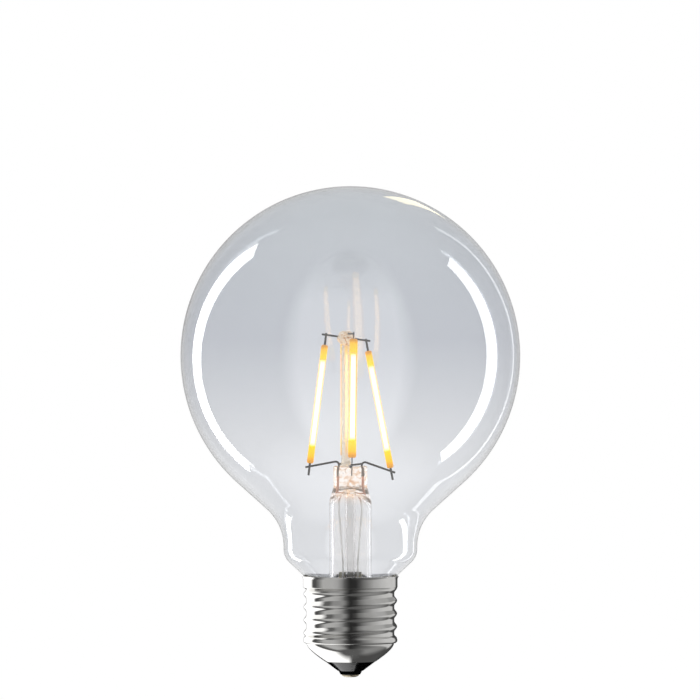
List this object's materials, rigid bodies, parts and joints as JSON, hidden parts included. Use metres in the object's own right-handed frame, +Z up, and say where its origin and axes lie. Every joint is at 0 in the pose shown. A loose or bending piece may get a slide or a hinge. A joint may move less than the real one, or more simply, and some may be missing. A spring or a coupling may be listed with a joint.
{
  "type": "globe bulb",
  "caption": "Clear glass globe bulb: upright light filaments wired to a glass stem and post, and a right-hand screw cap with a black insulator and an end contact.",
  "frame": {"origin": "tip of the end contact, on the lamp's axis", "axes": "+Z up the lamp's axis from the cap to the crown of the globe, -Y to the front, +X to the right"},
  "size_m": [0.095, 0.095, 0.1373],
  "materials": {
    "clear_glass": "clear, polished, blown",
    "lit_phosphor": "yellow phosphor in silicone, lit",
    "nickel_wire": "drawn nickel-plated wire and stamped tabs",
    "copper_wire": "copper-clad lead-in wire",
    "nickel_plate": "nickel-plated rolled sheet",
    "black_insulator": "gloss black",
    "contact_brass": "dull tinned brass",
    "cement": "baked capping cement",
    "circuit_board": "glass-fibre board",
    "capacitor_can": "sleeved can",
    "resistor_body": "lacquered",
    "chip_black": "moulded epoxy",
    "wire_insulation": "soft insulation"
  },
  "bodies": {
    "root": {"glass_globe": "clear_glass", "stem_tube": "clear_glass", "exhaust_tube": "clear_glass", "filament_post": "clear_glass", "led_filament_left": "lit_phosphor", "led_filament_right": "lit_phosphor", "led_filament_front": "lit_phosphor", "led_filament_back": "lit_phosphor", "upper_wire_across": "nickel_wire", "upper_wire_through": "nickel_wire", "lead_wire_left": "nickel_wire", "lead_wire_right": "nickel_wire", "branch_wire_back": "nickel_wire", "branch_wire_front": "nickel_wire", "upper_tab_left": "nickel_wire", "upper_tab_right": "nickel_wire", "upper_tab_front": "nickel_wire", "upper_tab_back": "nickel_wire", "lower_tab_left": "nickel_wire", "lower_tab_right": "nickel_wire", "lower_tab_front": "nickel_wire", "lower_tab_back": "nickel_wire", "lead_in_wire_left": "copper_wire", "lead_in_wire_right": "copper_wire", "screw_shell": "nickel_plate", "insulator": "black_insulator", "centre_contact": "contact_brass", "capping_cement": "cement", "driver_board": "circuit_board", "smoothing_capacitor": "capacitor_can", "fuse_resistor": "resistor_body", "bridge_rectifier": "chip_black", "driver_chip": "chip_black", "contact_wire": "wire_insulation", "shell_wire": "wire_insulation"}
  },
  "joints": []
}
